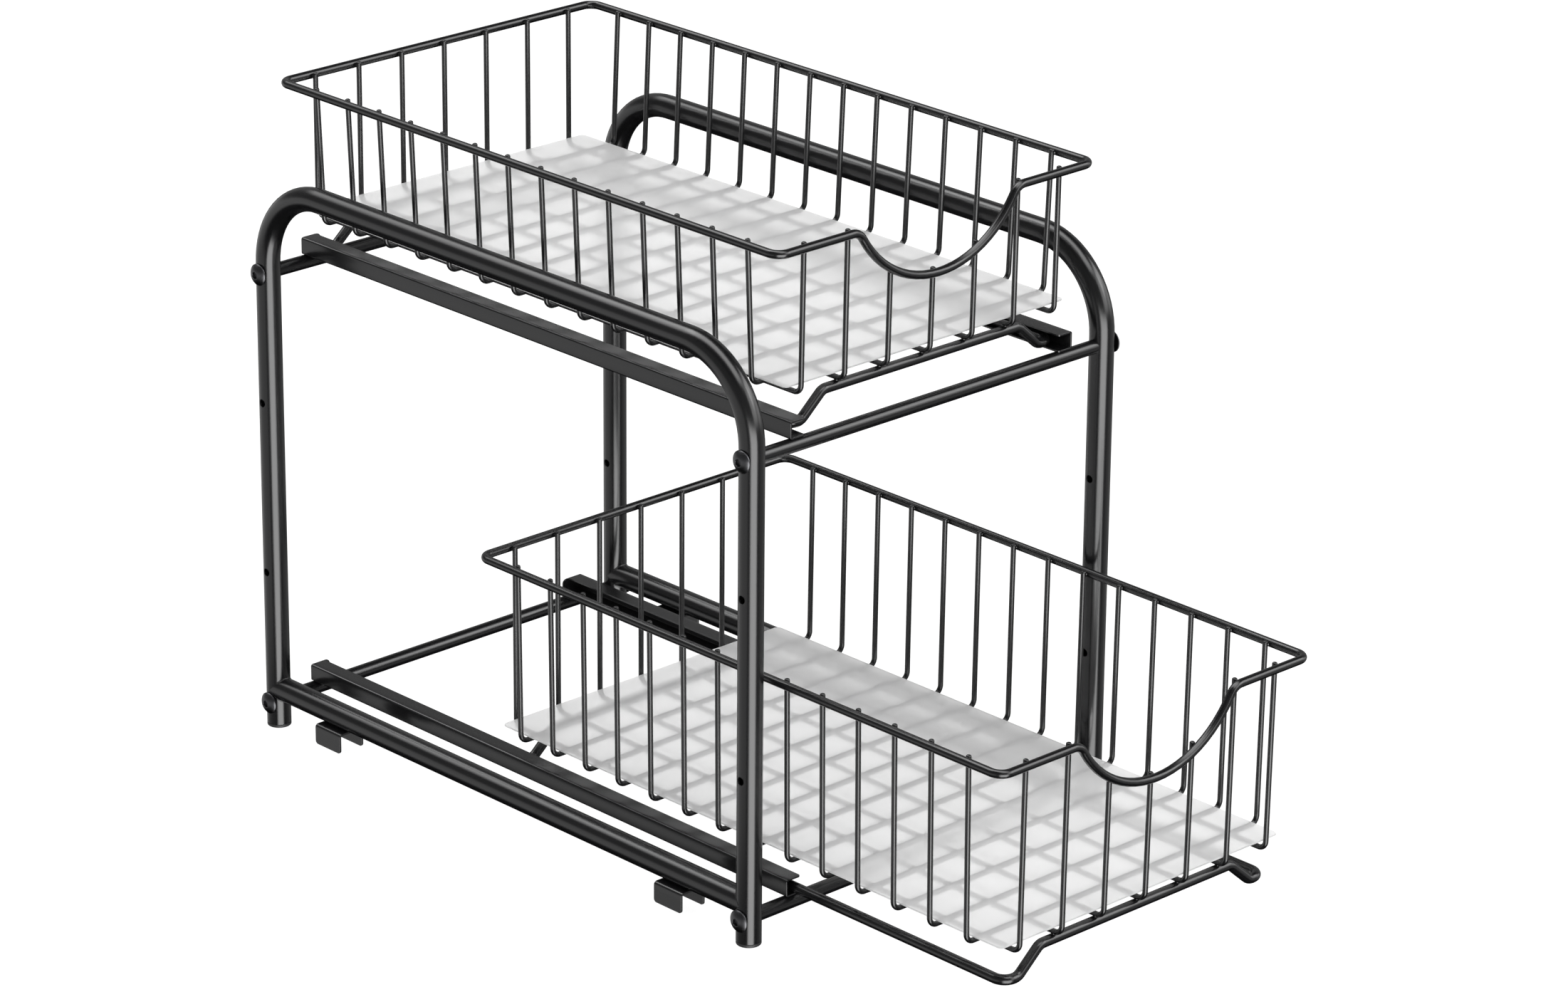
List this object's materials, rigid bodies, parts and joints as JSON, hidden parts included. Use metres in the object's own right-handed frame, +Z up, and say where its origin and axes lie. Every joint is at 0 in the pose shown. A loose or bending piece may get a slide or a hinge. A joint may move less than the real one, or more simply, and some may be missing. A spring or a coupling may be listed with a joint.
{
  "type": "under sink organizer",
  "caption": "Pull-out organizer with a tubular steel frame and wire baskets on two levels, each sliding on a runner captured in C-shaped rails.",
  "frame": {"origin": "on the floor, below the middle of the whole organizer's bounding box with the lower basket pulled out as modelled", "axes": "+Z up, -Y to the front where the baskets slide out, +X to the right seen from the front"},
  "size_m": [0.2822, 0.5792, 0.3878],
  "materials": {
    "black_powder_coated_steel": "satin",
    "blackened_screw_steel": "satin",
    "black_plastic": "matte",
    "frosted_plastic": "frosted"
  },
  "bodies": {
    "frame": {"left_hoop_tube": "black_powder_coated_steel", "left_base_tube": "black_powder_coated_steel", "front_left_foot_cap": "black_plastic", "front_left_base_bracket": "black_powder_coated_steel", "back_left_foot_cap": "black_plastic", "back_left_base_bracket": "black_powder_coated_steel", "right_hoop_tube": "black_powder_coated_steel", "right_base_tube": "black_powder_coated_steel", "front_right_foot_cap": "black_plastic", "front_right_base_bracket": "black_powder_coated_steel", "back_right_foot_cap": "black_plastic", "back_right_base_bracket": "black_powder_coated_steel", "lower_front_crossbar": "black_powder_coated_steel", "lower_back_crossbar": "black_powder_coated_steel", "lower_left_rail": "black_powder_coated_steel", "lower_right_rail": "black_powder_coated_steel", "upper_front_crossbar": "black_powder_coated_steel", "upper_back_crossbar": "black_powder_coated_steel", "upper_left_rail": "black_powder_coated_steel", "upper_right_rail": "black_powder_coated_steel", "crossbar_screws": "blackened_screw_steel"},
    "upper_drawer": {"upper_runner": "black_powder_coated_steel", "upper_rim": "black_powder_coated_steel", "upper_liner": "frosted_plastic", "upper_long_wires": "black_powder_coated_steel", "upper_cross_wire_01": "black_powder_coated_steel", "upper_cross_wire_02": "black_powder_coated_steel", "upper_cross_wire_03": "black_powder_coated_steel", "upper_cross_wire_04": "black_powder_coated_steel", "upper_cross_wire_05": "black_powder_coated_steel", "upper_cross_wire_06": "black_powder_coated_steel", "upper_cross_wire_07": "black_powder_coated_steel", "upper_cross_wire_08": "black_powder_coated_steel", "upper_cross_wire_09": "black_powder_coated_steel", "upper_cross_wire_10": "black_powder_coated_steel", "upper_cross_wire_11": "black_powder_coated_steel", "upper_cross_wire_12": "black_powder_coated_steel", "upper_cross_wire_13": "black_powder_coated_steel", "upper_cross_wire_14": "black_powder_coated_steel"},
    "lower_drawer": {"lower_runner": "black_powder_coated_steel", "lower_rim": "black_powder_coated_steel", "lower_liner": "frosted_plastic", "lower_long_wires": "black_powder_coated_steel", "lower_cross_wire_01": "black_powder_coated_steel", "lower_cross_wire_02": "black_powder_coated_steel", "lower_cross_wire_03": "black_powder_coated_steel", "lower_cross_wire_04": "black_powder_coated_steel", "lower_cross_wire_05": "black_powder_coated_steel", "lower_cross_wire_06": "black_powder_coated_steel", "lower_cross_wire_07": "black_powder_coated_steel", "lower_cross_wire_08": "black_powder_coated_steel", "lower_cross_wire_09": "black_powder_coated_steel", "lower_cross_wire_10": "black_powder_coated_steel", "lower_cross_wire_11": "black_powder_coated_steel", "lower_cross_wire_12": "black_powder_coated_steel", "lower_cross_wire_13": "black_powder_coated_steel", "lower_cross_wire_14": "black_powder_coated_steel"}
  },
  "joints": [
    {"name": "upper_drawer_slide", "type": "slide", "parent": "frame", "child": "upper_drawer", "axis": [0, -1, 0], "range_m": [0, 0.24]},
    {"name": "lower_drawer_slide", "type": "slide", "parent": "frame", "child": "lower_drawer", "axis": [0, -1, 0], "range_m": [-0.1676, 0.0724]}
  ]
}
